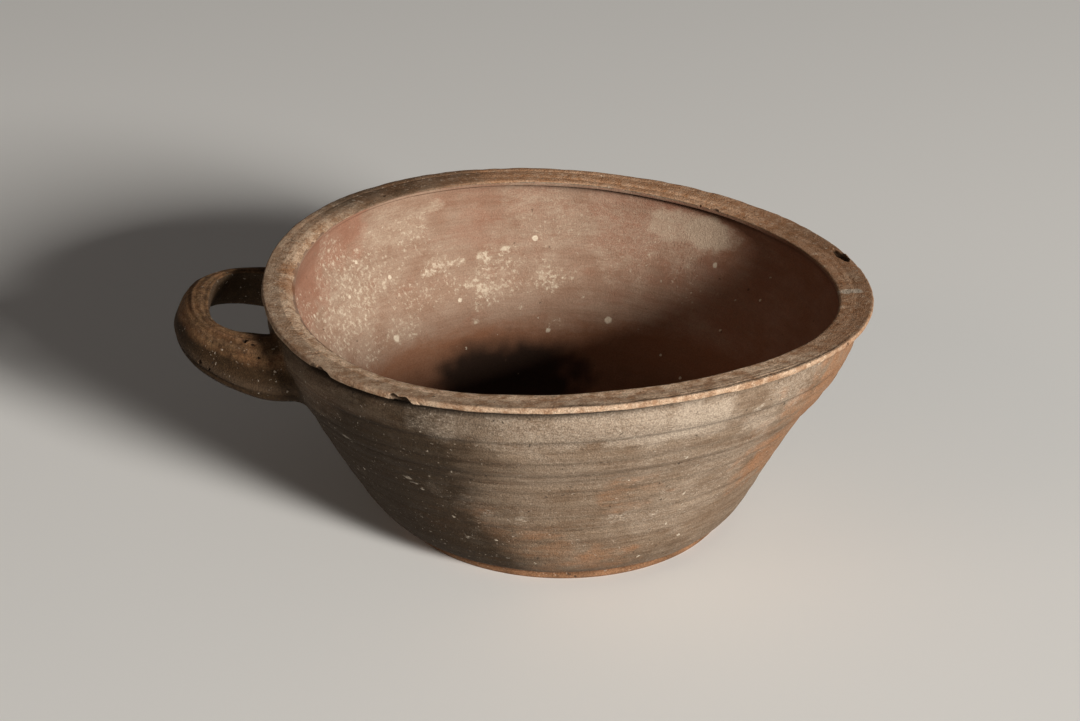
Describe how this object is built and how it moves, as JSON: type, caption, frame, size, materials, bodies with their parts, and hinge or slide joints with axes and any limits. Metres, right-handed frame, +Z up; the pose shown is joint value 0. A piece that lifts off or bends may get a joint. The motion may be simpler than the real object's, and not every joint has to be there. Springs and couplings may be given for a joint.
{
  "type": "saucepan",
  "caption": "Open round terracotta saucepan with a flanged rim, sloping thin wall, flat foot and one horizontal loop handle, for cooking and serving.",
  "frame": {"origin": "middle of the flat underside of the foot, on the surface the pan stands on", "axes": "+Z up towards the open mouth, -X from the bowl towards the loop handle, +Y to the back as the picture shows the pan"},
  "size_m": [0.2405, 0.21, 0.0884],
  "materials": {
    "terracotta": "matte"
  },
  "bodies": {
    "root": {"saucepan": "terracotta"}
  },
  "joints": []
}
